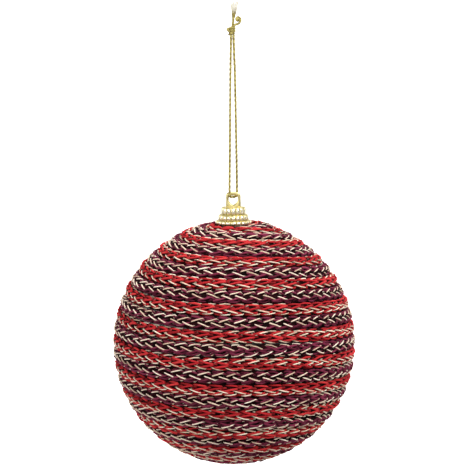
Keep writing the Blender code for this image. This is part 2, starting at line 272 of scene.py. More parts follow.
# %% [markdown]
# Node materials
#
# Every finish below is a Principled shader whose colour, roughness or bump comes from
# procedural nodes. A class holds the material and has a short word for each kind of node,
# so that a finish reads as a short recipe.

# %% Write down how a finish is made


class Finish:
    """A material with a Principled shader, and short words for the nodes that feed it."""

    def __init__(self, name, **sockets):
        """Plain values go straight on the shader's sockets."""
        self.material = bpy.data.materials.new(name)
        self.material.use_nodes = True
        self.tree = self.material.node_tree
        self.shader = self.tree.nodes["Principled BSDF"]
        for socket, value in sockets.items():
            self.shader.inputs[socket.replace("_", " ")].default_value = value

    def add(self, kind, settings=None, **inputs):
        """Add a node. Inputs are values or other nodes' outputs, by name or as i0, i1."""
        node = self.tree.nodes.new(kind)
        for key, value in (settings or {}).items():
            setattr(node, key, value)
        for key, value in inputs.items():
            socket = node.inputs[int(key[1:]) if key[1:].isdigit() else key]
            if isinstance(value, bpy.types.NodeSocket):
                self.tree.links.new(value, socket)
            else:
                socket.default_value = value
        return node

    def reckon(self, operation, first, second=0.0):
        return self.add("ShaderNodeMath", {"operation": operation}, i0=first, i1=second).outputs[0]

    def plus(self, first, second):
        return self.reckon("ADD", first, second)

    def times(self, first, second):
        return self.reckon("MULTIPLY", first, second)

    def left_on_points(self, name):
        """The numbers that a piece's surface function left on its points."""
        return self.add("ShaderNodeAttribute", {"attribute_name": name}).outputs["Fac"]

    def place(self, kind):
        return self.add("ShaderNodeTexCoord").outputs[kind]

    def noise(self, scale, detail):
        return self.add("ShaderNodeTexNoise", Vector=self.place("Object"),
                        Scale=scale, Detail=detail).outputs["Fac"]

    def round_and_along(self):
        """How far round and how far along a tube a point lies, from its UV map."""
        return self.add("ShaderNodeSeparateXYZ", i0=self.place("UV")).outputs[:2]

    def ramp(self, level, *stops):
        """The colour at a level between stops of (place, red, green, blue)."""
        node = self.add("ShaderNodeValToRGB", i0=level)
        elements = node.color_ramp.elements
        while len(elements) < len(stops):
            elements.new(0.5)
        for element, (place, *colour) in zip(elements, stops):
            element.position = place
            element.color = (*colour, 1.0)
        return node.outputs[0]

    def wire(self, output, socket):
        self.tree.links.new(output, self.shader.inputs[socket])

    def roughen(self, height, strength, depth, invert=False):
        """Bump that follows height, from 0 to 1, and is as deep as depth says in metres."""
        bump = self.add("ShaderNodeBump", {"invert": invert},
                        Strength=strength, Distance=depth, Height=height)
        self.wire(bump.outputs[0], "Normal")


print("finishes can be written")

# %% [markdown]
# The hanging thread
#
# The bauble hangs by a thin gold thread of three plies twisted together. It leaves the
# knot, runs down, passes under the bar of the eyelet and comes back up to the knot. Its
# route is the same list of points as the solid's. One could lay a plain tube on it, but
# the twist is what makes a thread, so each ply is its own tube that winds round the
# route.

# %% Make the hanging thread
THREAD_DIAMETER = 0.9 * MM
THREAD_RADIUS = THREAD_DIAMETER / 2
THREAD_CLEARANCE = 0.2 * MM
LOOP_LENGTH = 63.2 * MM
LOOP_SPREAD = 1.5 * MM
LOOP_UNDER_BAR = 0.6 * MM
TURN_DROP = 1.2 * MM
EYELET_THICKNESS = 1.6 * MM
SEAT_GAP = 0.3 * MM
KNOT_RISE = 2.1 * MM
KNOT_HEIGHT = 4.0 * MM
PLIES = 3
PLY_LAY = 6.4 * MM             # length of one full turn of the plies
PLY_OFFSET = 0.25              # shares of the thread's diameter
PLY_RADIUS = 0.34
PLY_SIDES = 6
LINE_SPACING = 0.22 * MM       # between the points of a thread's line


def thread_route():
    """From the knot down in front of the eyelet's bar, under it, and up behind it.

    The turn under the bar is a squarish half ellipse, so that the thread lies close."""
    side = LOOP_SPREAD
    depth = EYELET_THICKNESS / 2 + THREAD_CLEARANCE + THREAD_RADIUS
    touching = THREAD_RADIUS + THREAD_CLEARANCE / 2
    left = [
        (-touching, 0, KNOT_RISE + SEAT_GAP),
        (-touching, 0, 0.0008),
        (-0.0007, 0, -0.005),
        (-0.0009, -0.0001, -0.015),
        (-0.0011, -0.0002, -0.030),
        (-0.0013, -0.0005, -0.045),
        (-side, -depth, -0.058),
    ]
    right = [
        (side, depth, -0.058),
        (0.0014, 0.0004, -0.045),
        (0.0012, 0.0001, -0.030),
        (0.0010, 0, -0.015),
        (0.0007, 0, -0.005),
        (touching, 0, 0.0008),
        (touching, 0, KNOT_RISE + SEAT_GAP),
    ]
    angle = np.radians(np.arange(180, 361, 20))
    across = np.sign(np.cos(angle)) * np.abs(np.cos(angle))**0.6
    down = np.abs(np.sin(angle))**0.6
    turn = np.stack((side * across, depth * across,
                     LOOP_UNDER_BAR - LOOP_LENGTH - TURN_DROP * down), axis=1)
    return np.vstack((left, turn, right))


def twisted_plies(line):
    """Tubes twisted round a line: each is the line + ply offset * (cos, sin) of an angle
    that grows by one turn in a lay. They press together, so they overlap a little."""
    _, side, other = carried_frame(line)
    distance = along_line(line)
    parts = []
    for ply in range(PLIES):
        angle = TURN * (distance / PLY_LAY + ply / PLIES)
        offset = side * np.cos(angle)[:, None] + other * np.sin(angle)[:, None]
        centre = line + offset * THREAD_DIAMETER * PLY_OFFSET
        parts.append(tube_arrays(centre, THREAD_DIAMETER * PLY_RADIUS, PLY_SIDES, PLY_LAY))
    return joined(parts)


thread_line = smooth_line(thread_route(), LINE_SPACING)
hanging_thread = mesh_piece("twisted_gold_thread", *twisted_plies(thread_line))

# %% [markdown]
# The knot
#
# Above the hang point the thread is tied in a tight overhand knot. Its two cut ends stand
# up from it: one curls round into a small ring, and the other frays into fine filaments.
# A lump would have the outline, but a knot is thread that goes round itself, so the
# same twisted plies follow a short path of turns.

# %% Make the knot
KNOT_MIDDLE = KNOT_RISE + KNOT_HEIGHT / 2
FRAY_SEED = 4
FRAYED_FILAMENTS = 6
FILAMENT_RADIUS = 0.14 * MM
FRAYED_HEIGHTS = (15.2, 17.0)  # millimetres above the hang point
KNOT_TURNS = 2.9
KNOT_HALF_WIDTH = 1.15 * MM
KNOT_HALF_DEPTH = 0.95 * MM
KNOT_START = -1.4 * MM         # from the knot's middle
KNOT_CLIMB = 3.2 * MM
KNOT_TILT = 0.45 * MM
KNOT_STEPS = 160


def knot_turns():
    """A path that rises through three flat turns round the loop's two legs.

    Each turn is an ellipse, tilted to one side, and the path climbs steadily."""
    t = np.linspace(0, 1, KNOT_STEPS)
    angle = TURN * (KNOT_TURNS * t + 0.1)
    x = KNOT_HALF_WIDTH * np.cos(angle) - 0.15 * MM
    y = KNOT_HALF_DEPTH * np.sin(angle)
    z = KNOT_MIDDLE + KNOT_START + KNOT_CLIMB * t + KNOT_TILT * np.cos(angle)
    return np.stack((x, y, z), axis=1)


def knot_lobe():
    """The small bight that stands out at the knot's left."""
    angle = np.linspace(math.radians(60), math.radians(300), 40)
    x = -1.35 * MM + 0.5 * MM * np.cos(angle)
    z = KNOT_MIDDLE + 0.6 * MM + 0.42 * MM * np.sin(angle)
    return np.stack((x, np.full_like(x, -0.45 * MM), z), axis=1)


def knot_curl():
    """The cut end that leaves the knot's top and curls round into a ring."""
    route = np.array([(0.3, 0, 5.0), (0.9, 0, 6.4), (2.1, -0.1, 6.9), (3.1, -0.1, 7.6),
                      (3.3, 0, 8.8), (2.8, 0.1, 9.6), (2.0, 0.1, 9.5), (1.7, 0, 8.8),
                      (2.1, -0.3, 8.2), (2.6, -0.5, 8.6), (2.4, -0.6, 9.0)])
    return smooth_line(route * MM, LINE_SPACING)


def knot_tail():
    """The other cut end, up to where it frays."""
    route = np.array([(-0.1, 0, 5.0), (0.3, 0, 7.2), (0.5, 0.1, 9.2), (0.9, 0, 10.6)])
    return smooth_line(route * MM, LINE_SPACING)


def frayed_ends():
    """Fine filaments that fan out from the tail, each on its own bent line."""
    draw = np.random.default_rng(FRAY_SEED)
    parts = []
    for lean in np.linspace(-0.5, 2.1, FRAYED_FILAMENTS):
        bend = draw.uniform(-0.5, 0.5)
        height = draw.uniform(*FRAYED_HEIGHTS)
        route = np.array([(0.1, 0, 6.5), (0.2 + 0.3 * lean, 0.4 * bend, 9.5),
                          (0.2 + 0.7 * lean, bend, 12.2), (1.1 * lean, 1.2 * bend, height)])
        parts.append(tube_arrays(smooth_line(route * MM, 0.5 * MM), FILAMENT_RADIUS, 4))
    return joined(parts)


knot_parts = [twisted_plies(line) for line in (knot_turns(), knot_lobe(), knot_curl(), knot_tail())]
thread_knot = mesh_piece("gold_thread_knot", *joined(knot_parts + [frayed_ends()]))
print("knot", len(thread_knot.data.polygons), "faces")

# %% [markdown]
# How the cords are wound
#
# Both cords follow one spiral on the ball, half a turn apart. The angle down from the top
# grows evenly with the turns. Hand winding adds four small things: the upper turns are
# pushed down on one side, the winding stands higher towards the cap, a turn beside the
# cap stands proud of that, and all turns follow one slow wave. Where the turns crowd, the
# cord is squeezed a little thinner. The solid cords were built with the same formulas, so
# the knitting lies where they are. Only the last two millimetres are added here: the cut
# ends, tucked in at the bottom.

# %% Name the winding's measures
BALL_DIAMETER = 100 * MM
CORD_DIAMETER = 5 * MM
TURN_GAP = 0.3 * MM
CORD_RADIUS = CORD_DIAMETER / 2
TURN_PITCH = CORD_DIAMETER + TURN_GAP
WINDING_RADIUS = BALL_DIAMETER / 2 - CORD_RADIUS
PAIR_ANGLE = 2 * TURN_PITCH / WINDING_RADIUS
STEM_DIAMETER = 6 * MM
RED_AT_FRONT = math.radians(1.25)  # where its line would start, from the top
LEAN = math.radians(9)         # by which the upper turns are pushed down
LEAN_FADE = math.radians(26)   # down from the top
LEAN_SIDE = math.radians(105)  # round from the front
LEAN_POWER = 4
SHOULDER_HEIGHT = 1.35 * MM
SHOULDER_FADE = math.radians(48)
PROUD_HEIGHT = 1.2 * MM
PROUD_AT = math.radians(14)    # down from the top
PROUD_OVER = math.radians(3)
WAVE = math.radians(0.45)
WAVES_AROUND = 3
WAVE_SIDE = math.radians(-38)
FIRST_TURN_ANGLE = math.asin((STEM_DIAMETER / 2 + SEAT_GAP + CORD_RADIUS) / WINDING_RADIUS)
LAST_TURN_ANGLE = math.pi - math.asin(TURN_PITCH / 2 / WINDING_RADIUS)
SKIRT_DIAMETER = 15 * MM
SHOULDER_START = math.asin(SKIRT_DIAMETER / BALL_DIAMETER)
SHOULDER_FULL = math.asin((SKIRT_DIAMETER / 2 + CORD_DIAMETER) / WINDING_RADIUS)
TUCKED_ANGLE = math.pi - math.asin(TURN_PITCH / 5 / WINDING_RADIUS)
TUCKED_SHARE = 0.55            # of its thickness is left at a cord's tucked end
print("a cord starts", round(math.degrees(FIRST_TURN_ANGLE), 1), "degrees from the top")

# %% [markdown]
# The line of a cord
#
# A point of the line is the ball's centre + reach * (sin(angle) * (sin(azimuth),
# -cos(azimuth)), cos(angle)). The angle down from the top is an even part, which grows by
# the pitch of a pair of cords in each turn, plus the lean and the wave. The reach is that
# of the crest less the cord's own radius. All of it is worked out at once in small steps
# of the azimuth, and the knitting then asks for places by their distance along the line.

# %% Wind the cords
FINE_TURN = 0.002              # radians
ENOUGH_TURNS = 16              # more than the ball takes
TANGENT_STEP = 0.2 * MM


class WoundCord:
    """The line of one wound cord, as functions of the distance along it."""

    def __init__(self, lag):
        """lag is the angle round the ball by which the cord starts after the first one."""
        azimuth = np.arange(-lag, TURN * ENOUGH_TURNS, FINE_TURN)
        even = RED_AT_FRONT + PAIR_ANGLE * (azimuth + lag) / TURN
        side = ((1 + np.cos(azimuth - LEAN_SIDE)) / 2)**LEAN_POWER
        lean = LEAN * side * np.exp(-even / LEAN_FADE)
        wave = WAVE * np.cos(WAVES_AROUND * (azimuth - WAVE_SIDE)) * np.sin(even)
        angle = even + lean + wave
        shoulder = SHOULDER_HEIGHT * np.exp(-(angle / SHOULDER_FADE)**2) \
            * np.clip((angle - SHOULDER_START) / (SHOULDER_FULL - SHOULDER_START), 0, 1)
        proud = PROUD_HEIGHT * side * np.exp(-((angle - PROUD_AT) / PROUD_OVER)**2)
        crest = BALL_DIAMETER / 2 + shoulder + proud
        used = (np.arange(len(angle)) >= np.argmax(angle >= FIRST_TURN_ANGLE)) & \
            (angle <= TUCKED_ANGLE)
        climb = np.gradient(angle, azimuth)
        steepness = np.cos(np.arctan(climb / np.sin(angle)))
        room = TURN_PITCH * (1 - lean / LEAN_FADE) * steepness - TURN_GAP
        tucked = np.clip((angle - LAST_TURN_ANGLE) / (TUCKED_ANGLE - LAST_TURN_ANGLE), 0, 1)
        share = (np.minimum(1.0, room / CORD_DIAMETER) * (1 - (1 - TUCKED_SHARE) * tucked))[used]
        azimuth, angle = azimuth[used], angle[used]
        reach = crest[used] - CORD_RADIUS * share
        self.line = np.stack((reach * np.sin(angle) * np.sin(azimuth),
                              -reach * np.sin(angle) * np.cos(azimuth),
                              BALL_CENTRE + reach * np.cos(angle)), axis=1)
        self.distance = along_line(self.line)
        self.length = self.distance[-1]
        self.share = share
        self.azimuth = azimuth

    def at(self, distance):
        """Middle, outward and sideways directions and thickness share there."""
        distance = np.clip(distance, 0, self.length)
        middle = self.point(distance)
        tangent = unit(self.point(distance + TANGENT_STEP) - self.point(distance - TANGENT_STEP))
        outward = middle - np.array((0, 0, BALL_CENTRE))
        outward = unit(outward - tangent * np.sum(outward * tangent, axis=-1, keepdims=True))
        share = np.interp(distance, self.distance, self.share)
        return middle, outward, np.cross(outward, tangent), share

    def point(self, distance):
        """The line's place at a distance from its start."""
        return read_line(self.line, self.distance, distance)


cords = {"scarlet": WoundCord(0.0), "plum": WoundCord(math.pi)}
for name, cord in cords.items():
    print(name, "cord", round(cord.length, 3), "m")

# %% [markdown]
# The knitting
#
# Each cord is a loosely knitted tube of six columns of stitches. A stitch shows two legs
# that lean together, so a column looks like a row of arrow heads. Every leg is a coloured
# yarn and a cream yarn. In every other column the cream yarn lies on top, and in the
# columns between it hides under the coloured one and only peeps out beside the leg.
# Between two legs the loop's head passes up from below, and beside it one looks into the
# dark inside of the tube. A texture of arrows on a tube would look printed, so every leg
# is a short tapered tube of its own, and all of them come from one formula.

# %% Name the knitting's measures
STITCH_PITCHES = {"scarlet": 5.75 * MM, "plum": 5.6 * MM}
COLUMNS = 6
KNIT_REACH = 2.14 * MM         # from the cord's middle to a yarn's middle
# DEEPEST, FLANK_SHADE and SUNK_SHADE set painted shade: a yarn's colour is darkened where it lies
# deep or on the flank of the cord.
DEEPEST = 1.3 * MM             # a yarn that lies this much deeper is in full shade
COLOURED_RADII = {"scarlet": 0.40 * MM, "plum": 0.37 * MM}
CREAM_RADIUS = 0.25 * MM
SECTION_POWER = 2.6            # 2 is a round cord, and more is squarer
SECTION_WIDTH = 1.14           # the cord's width over its height
LEG_RINGS = np.array((0.0, 0.07, 0.42, 0.78, 1.0))
LEG_SWELL = np.array((0.5, 0.97, 1.05, 0.98, 0.5))
LEG_SIDES = 6
FIRST_CORNER = 0.3             # radians
LEG_LENGTH = 0.97              # shares of a stitch
HEAD_AHEAD = 0.27
HEAD_LENGTH = 0.6
LOWER_LEG_SHIFT = 0.43         # how far the lower legs of a cream column are shifted
LEG_MIDDLE = math.radians(24)  # from the middle of a column to the middle of its leg
FIRST_ANGLES = (5, 6)          # degrees, in a cream column and between
LAST_ANGLE = 50
PEEP_SWING = 6
SHOWN_ANGLE = math.radians(97)
CREAM_SHOWN_ANGLE = math.radians(76)  # the thin cream yarn is lost sooner in the groove
FLANK_START = math.radians(48)
FLANK_END = math.radians(88)   # between these a yarn goes down into the groove
FLANK_DROP = 0.3 * MM
FLANK_SHADE = 0.15
DIVE_POWER = 1.6
END_DROP = 1.0 * MM            # how far a leg dives at its end
TIP_DROP = 0.35 * MM           # and how much lower its blunt tip lies
BOW_SPREAD = (0.75, 1.35)      # shares by which the bow of the legs differs
ANGLE_SPREAD = 0.06            # radians
HEIGHT_SPREAD = 0.04 * MM
STITCH_SPREAD = 0.24 * MM
COLUMN_SPREAD = 0.04           # radians
RADIUS_SPREAD = 0.05           # a share
KNIT_SEED = 11

# The coloured yarn, first in a cream column and then between the cream columns:
COLOURED_LENGTHS = (1.1, 1.18)
COLOURED_BOWS = (1.1, 1.45)
COLOURED_HEIGHTS = (-0.10 * MM, 0.06 * MM)
COLOURED_SHARES = (0.88, 1.05)
COLOURED_DIVE = 0.45           # share of a leg that dives
CREAM_BOW = 1.1
CREAM_HEIGHT = 0.12 * MM
PEEP_HEIGHTS = (-0.9, -0.3)    # millimetres
PEEP_LENGTH = 0.9 * MM
PEEP_SPREAD = 0.3 * MM
HEAD_HEIGHT = -0.6 * MM
HEAD_SHARE = 1.2               # of the coloured yarn's radius
print("yarn radii", {name: radius / MM for name, radius in COLOURED_RADII.items()}, "mm")

# %% [markdown]
# The twist of the cords
#
# A cord that is wound by hand also turns round its own line, so that now one column and
# now another lies on top. The turning has no rule, so it is a short table, read by linear
# steps between its places.

# %% Twist the cords
# For each turn from the top, these are the degrees by which its columns have turned at
# four places: far left, left, right and far right.
TWIST_PLACES = np.radians((-60, -20, 20, 60))
TWISTS = {
    "scarlet": ((-40, -50, -60, 45), (-40, -50, -60, 45), (45, 50, 40, 35), (50, -45, -40, -55),
                (-55, -50, -45, 55), (-35, -40, -40, -25), (-40, -30, 50, -10), (-15, -50, 35, -25),
                (-10, -20, -20, -30), (-10, -30, -50, -45), (40, 20, 45, 30), (40, 0, -15, 5)),
    "plum": ((10, 10, 10, -15), (-10, -15, -60, 55), (-15, 5, 0, 0), (-10, -5, -5, -30),
             (5, 5, 5, 5), (25, -10, 0, 15), (0, 25, -50, 5), (30, 20, 10, -45),
             (25, 30, -5, -50), (30, -10, -35, 45), (40, 25, 45, 35), (20, 10, -30, -45)),
}


def twist_at(name, cord, distance):
    """How far the columns have turned round the cord there. They look alike after a third
    of a turn, so the twist goes to each next value by the shorter way."""
    table = np.unwrap(np.radians(TWISTS[name]).ravel(), period=TURN / 3)
    places = (TWIST_PLACES + TURN * np.arange(len(TWISTS[name]))[:, None]).ravel()
    return np.interp(np.interp(distance, cord.distance, cord.azimuth), places, table)


print("twists", {name: len(rows) for name, rows in TWISTS.items()}, "turns")

# %% [markdown]
# The legs
#
# A leg runs along the cord while it swings out from the middle of its column. It starts
# blunt at the tip of the arrow and dives under its neighbours at the other end. Its place
# is the cord's middle + reach * (cos * outward + sin * sideways) of the angle round the
# cord. Modelling one leg and copying it along a curve would bend it wrongly in the
# corners, so all legs of a yarn are worked out at once, as one array.

# %% Work out the legs
MEASURES = ("length", "first_angle", "last_angle", "bow", "height", "dive", "radius")


def leg_tubes(cord, along, angle_at, reach_at, radius):
    """All legs of one yarn as points [legs, rings, sides, 3].

    The arguments give each ring's distance along the cord, its angle and reach, and the
    yarn's radius. The cord is soft and pressed against its neighbours, so its section is
    a power ellipse: (cos, sin) / (|cos|^p + |sin|^p)^(1/p), a little wider than high."""
    middle, outward, upward, share = cord.at(along)
    share = share[..., None]
    cosine, sine = np.cos(angle_at), np.sin(angle_at)
    squarer = (np.abs(cosine)**SECTION_POWER + np.abs(sine)**SECTION_POWER)**(-1 / SECTION_POWER)
    radial = outward * (cosine * squarer)[..., None] \
        + upward * (sine * squarer * SECTION_WIDTH)[..., None]
    centre = middle + radial * reach_at[..., None] * share
    forward = unit(np.gradient(centre, axis=1))
    side = unit(np.cross(radial, forward))
    out = np.cross(forward, side)
    around = even_angles(LEG_SIDES) + FIRST_CORNER
    ring = side[:, :, None] * np.cos(around)[:, None] + out[:, :, None] * np.sin(around)[:, None]
    return centre[:, :, None] + ring * radius[..., None, None] * share[..., None]


def from_crest(angle):
    """The angle's distance from the cord's crest, from 0 to half a turn."""
    return np.abs((angle + math.pi) % TURN - math.pi)


def leg_piece(name, cord, draw, start, **measures):
    """One piece from many legs. start holds one number for each leg. The measures are its
    length, first_angle, last_angle, bow, height, dive and radius, for each leg or for all.

    The angle grows from first_angle to last_angle along the leg, late where bow is more than 1. The
    leg keeps its height and goes down at its end, the sooner the larger dive is. It also goes down
    towards the groove between two turns, where it lies in shade. How deep it lies, and how far
    towards the groove, is left on its points as painted shade for its colour."""
    t = LEG_RINGS
    legs = len(start)
    length, first_angle, last_angle, bow, height, dive, radius = (
        np.broadcast_to(measures[label], legs)[:, None] for label in MEASURES)
    bow = bow * draw.uniform(*BOW_SPREAD, (legs, 1))
    angle_at = first_angle + (last_angle - first_angle) * t**bow
    angle_at = angle_at + draw.normal(0, ANGLE_SPREAD, (legs, 1))
    end = np.clip((t - 1 + dive) / dive, 0, 1)**DIVE_POWER
    tip = np.clip(1 - t / LEG_RINGS[1], 0, 1)
    flank = np.clip((from_crest(angle_at) - FLANK_START) / (FLANK_END - FLANK_START), 0, 1)
    reach_at = KNIT_REACH + height - END_DROP * end - TIP_DROP * tip - FLANK_DROP * flank \
        + draw.normal(0, HEIGHT_SPREAD, (legs, 1))
    points = leg_tubes(cord, start[:, None] + t * length, angle_at, reach_at, radius * LEG_SWELL)
    # painted shade for the yarn's colour, from how deep it lies and how far towards the groove
    painted_depth_shade = np.clip((KNIT_REACH - reach_at) / DEEPEST + FLANK_SHADE * flank, 0, 1)
    quads, uv = tube_faces(len(t), LEG_SIDES, t * abs(length[0, 0]) / MM)
    each = len(t) * LEG_SIDES
    quads = quads[None] + (np.arange(legs) * each)[:, None, None]
    uv = np.broadcast_to(uv, (legs, *uv.shape))
    tone = np.repeat(draw.uniform(0, 1, legs), each)
    piece = mesh_piece(name, points, quads, uv, {"tone": tone, "painted_depth_shade": np.repeat(painted_depth_shade, LEG_SIDES)})
    print(name, legs, "legs,", quads.shape[0] * quads.shape[1] * 2, "triangles")
    return piece


print("a leg has", len(LEG_RINGS), "rings of", LEG_SIDES, "points")

# %% [markdown]
# The stitches
#
# Every stitch of every column gets two legs, one up and one down. Legs that would lie
# against the ball are left out, because nobody sees them. In the scarlet cord the arrows
# point along the winding, and in the plum one they point back.

# %% Knit the cords


def knit(name, cord, tip_ahead, between, open_end, beside, ahead, cream_end, cream_dive,
         peep_back, peep_angle):
    """The coloured legs, the cream legs and the loops' heads of one cord, as three pieces.

    Angles are in degrees from the middle of the column. tip_ahead is 1 where the arrows
    point along the winding and -1 where they point back. The columns between the cream
    ones lie ahead of them by the share between, and their legs open to open_end. In the
    cream columns the coloured yarn lies beside the cream one, further out by the angle
    beside or, below 0, further in. Its upper and lower legs start there at the two shares
    of a stitch in ahead. A cream leg ends at cream_end, and cream_dive says how soon it
    goes down under the next column. Elsewhere the cream yarn only peeps out, peep_back
    behind a leg's tip and at peep_angle. A head lies lower and reaches ahead between two
    legs."""
    draw = np.random.default_rng(KNIT_SEED + int(tip_ahead))
    pitch = STITCH_PITCHES[name]
    stitch, column, leg = (grid.ravel() for grid in np.meshgrid(
        np.arange(int(cord.length / pitch)), np.arange(COLUMNS), np.array((1, -1)),
        indexing="ij"))
    cream_on_top = column % 2 == 0
    shift = np.where(cream_on_top, LOWER_LEG_SHIFT * (leg < 0), between)
    base = (stitch + 0.5) * pitch + draw.normal(0, STITCH_SPREAD, len(stitch))
    start = base + shift * pitch
    column_angle = TURN / COLUMNS * column + twist_at(name, cord, start)
    column_angle = column_angle + draw.normal(0, COLUMN_SPREAD, len(start))
    middle = from_crest(column_angle + leg * LEG_MIDDLE)
    kept = middle < SHOWN_ANGLE
    base, start, leg, column_angle, cream_on_top, middle = (
        values[kept] for values in (base, start, leg, column_angle, cream_on_top, middle))
    legs = len(start)
    length = -tip_ahead * LEG_LENGTH * pitch

    def pick(in_cream_column, elsewhere):
        return np.where(cream_on_top, in_cream_column, elsewhere)

    def angle_of(degrees):
        return column_angle + leg * np.radians(degrees)

    coloured = leg_piece(
        f"{name}_cord_coloured_yarn", cord, draw,
        start=pick(base + np.where(leg > 0, *ahead) * pitch, start),
        length=length * pick(*COLOURED_LENGTHS),
        first_angle=angle_of(pick(FIRST_ANGLES[0] + beside, FIRST_ANGLES[1])),
        last_angle=angle_of(pick(LAST_ANGLE + beside, open_end)),
        bow=pick(*COLOURED_BOWS),
        height=pick(*COLOURED_HEIGHTS),
        dive=COLOURED_DIVE,
        radius=COLOURED_RADII[name] * pick(*COLOURED_SHARES) * draw.normal(1, RADIUS_SPREAD, legs))
    peep_start = start - tip_ahead * peep_back + draw.normal(0, PEEP_SPREAD, legs)
    cream_legs = {
        "start": pick(start, peep_start),
        "length": pick(length, -tip_ahead * PEEP_LENGTH),
        "first_angle": angle_of(pick(FIRST_ANGLES[0], peep_angle)),
        "last_angle": angle_of(pick(cream_end, peep_angle + PEEP_SWING)),
        "bow": CREAM_BOW,
        "height": pick(CREAM_HEIGHT, draw.uniform(*PEEP_HEIGHTS, legs) * MM),
        "dive": cream_dive,
        "radius": CREAM_RADIUS * draw.normal(1, RADIUS_SPREAD, legs)}
    shown = middle < CREAM_SHOWN_ANGLE
    cream = leg_piece(f"{name}_cord_cream_yarn", cord, draw,
                      **{label: np.broadcast_to(values, legs)[shown]
                         for label, values in cream_legs.items()})
    headed = ~cream_on_top & (leg > 0)
    heads = leg_piece(
        f"{name}_cord_loop_heads", cord, draw,
        start=start[headed] + tip_ahead * HEAD_AHEAD * pitch,
        length=-tip_ahead * HEAD_LENGTH * pitch,
        first_angle=column_angle[headed], last_angle=column_angle[headed],
        bow=1.0, height=HEAD_HEIGHT, dive=1.0, radius=HEAD_SHARE * COLOURED_RADII[name])
    return coloured, cream, heads


scarlet_yarn, scarlet_cream, scarlet_heads = knit(
    "scarlet", cords["scarlet"], tip_ahead=1, between=0.42, open_end=46, beside=-14,
    ahead=(0.26, 0.26), cream_end=36, cream_dive=0.45, peep_back=0.9 * MM, peep_angle=24)
plum_yarn, plum_cream, plum_heads = knit(
    "plum", cords["plum"], tip_ahead=-1, between=-0.05, open_end=50, beside=14,
    ahead=(0.0, 0.43), cream_end=52, cream_dive=0.3, peep_back=-1.85 * MM, peep_angle=24)

# %% [markdown]
# The inside of the cords
#
# Between the legs one looks into the dark inside of the knitted tube. A plain core, an
# ellipse in section, fills each cord just under its yarns. It is wide enough to close
# the groove between two turns, so that the pale ball never shows.

# %% Fill the cords
CORE_SIDES = 10
CORE_STEP = 2.6 * MM
CORE_HEIGHT = 1.3 * MM
CORE_WIDTH = 2.62 * MM


def core(name, cord):
    """A tube whose ring is core height * cos outward + core width * sin sideways."""
    distance = np.linspace(0, cord.length, int(cord.length / CORE_STEP))
    middle, outward, upward, share = cord.at(distance)
    angle = even_angles(CORE_SIDES)
    ring = outward[:, None] * np.cos(angle)[:, None] * CORE_HEIGHT \
        + upward[:, None] * np.sin(angle)[:, None] * CORE_WIDTH
    points = middle[:, None] + ring * share[:, None, None]
    faces = tube_faces(len(points), CORE_SIDES, distance / MM, turned=True)
    return mesh_piece(name, points, *faces)


cores = {name: core(f"{name}_cord_inside", cord) for name, cord in cords.items()}
print("cores", {name: len(obj.data.polygons) for name, obj in cores.items()})

# %% [markdown]
# The cap
#
# The cap is moulded in one piece: a skirt, two tiers of upright beads and an eyelet. It
# could be turned with a Screw modifier and pressed by hand, but the beads follow a rule,
# so the whole cap is one surface of two parameters. Down the profile the radius steps
# from tier to tier, and round the axis each tier swells into its beads. A bead's swell is
# |cos| of half the bead count times the azimuth, raised to a power so that the beads are
# full and the grooves between them narrow.

# %% Make the cap
CAP_COLUMNS = 360
EYELET_BAR = 1.5 * MM          # the bar over the hole, which the thread pulls on
EYELET_HEIGHT = 6.2 * MM
UPPER_TIER_HEIGHT = 3.1 * MM
LOWER_TIER_HEIGHT = 2.4 * MM
SKIRT_HEIGHT = 1.4 * MM
EYELET_TOP = EYELET_BAR - LOOP_LENGTH
EYELET_FOOT = EYELET_TOP - EYELET_HEIGHT
UPPER_TIER_FOOT = EYELET_FOOT - UPPER_TIER_HEIGHT
LOWER_TIER_FOOT = UPPER_TIER_FOOT - LOWER_TIER_HEIGHT
CAP_FOOT = LOWER_TIER_FOOT - SKIRT_HEIGHT
FOAM_RADIUS = 44.25 * MM
STEM_IN_FOAM = 12 * MM
STEM_FOOT = BALL_CENTRE + FOAM_RADIUS - STEM_IN_FOAM
CAP_TOP_RADIUS = 2.0 * MM      # where the flat top is closed, inside the eyelet's foot
# The relief levels also set the gold's painted light and shade: pale where high, dark where low.
TOP_RELIEF = 0.6               # from 0 in a groove to 1 on a bead
STEM_RELIEF = 0.2
BEAD_FULLNESS = 0.6            # powers: the smaller, the fuller
TIER_FULLNESS = 0.55
TIER_ROWS = 11
TIERS = (
    # foot, height, radius, beads, depth of the grooves
    (UPPER_TIER_FOOT, UPPER_TIER_HEIGHT, 5.25 * MM, 16, 0.6 * MM),
    (LOWER_TIER_FOOT, LOWER_TIER_HEIGHT, 6.4 * MM, 20, 0.6 * MM),
    (CAP_FOOT, SKIRT_HEIGHT, SKIRT_DIAMETER / 2, 20, 0.5 * MM),
)


